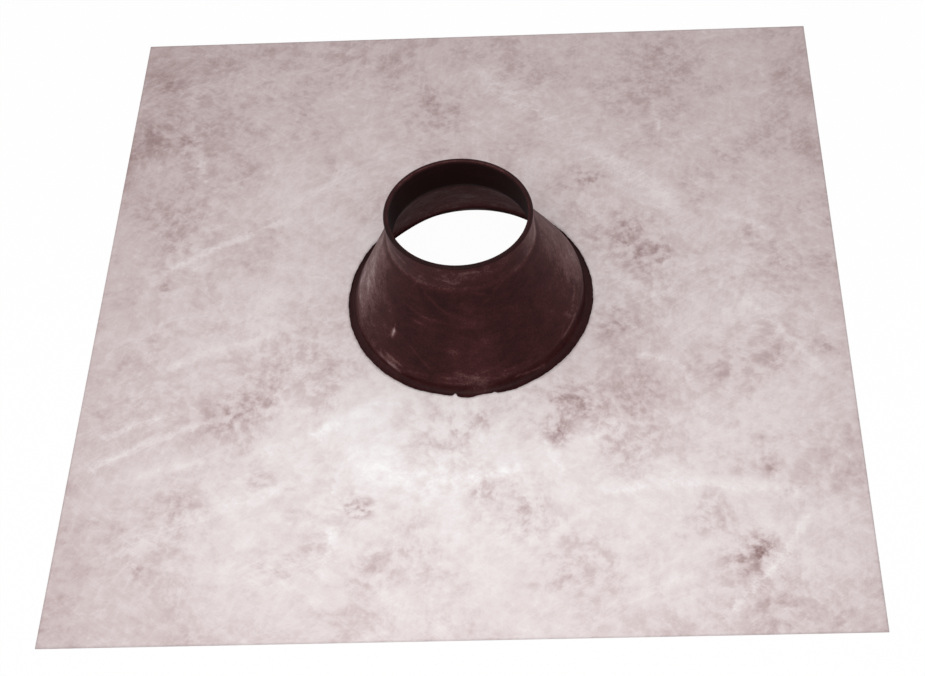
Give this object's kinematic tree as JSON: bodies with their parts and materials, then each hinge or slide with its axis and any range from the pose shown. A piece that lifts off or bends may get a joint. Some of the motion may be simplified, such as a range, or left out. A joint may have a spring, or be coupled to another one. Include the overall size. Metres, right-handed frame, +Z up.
{
  "type": "pipe flashing boot",
  "caption": "Square fleece-faced sealing sheet with a conical black rubber boot and collar in the middle, which seals a pipe where it passes through a wall, floor or roof.",
  "frame": {"origin": "on the pipe's axis, in the plane of the underside that the part lies on", "axes": "+Z up the collar, the way the pipe leaves the boot; +X and +Y along the sheet's edges"},
  "size_m": [0.5, 0.5, 0.0895],
  "materials": {
    "rubber": "moulded black rubber, satin, lightly scuffed and scratched",
    "backing": "smooth dark calendered membrane",
    "fleece": "pale nonwoven of swirling fibres, with the dark backing showing through in thin places"
  },
  "bodies": {
    "root": {"rubber_boot": "rubber", "membrane_backing": "backing", "fleece_facing": "fleece"}
  },
  "joints": []
}
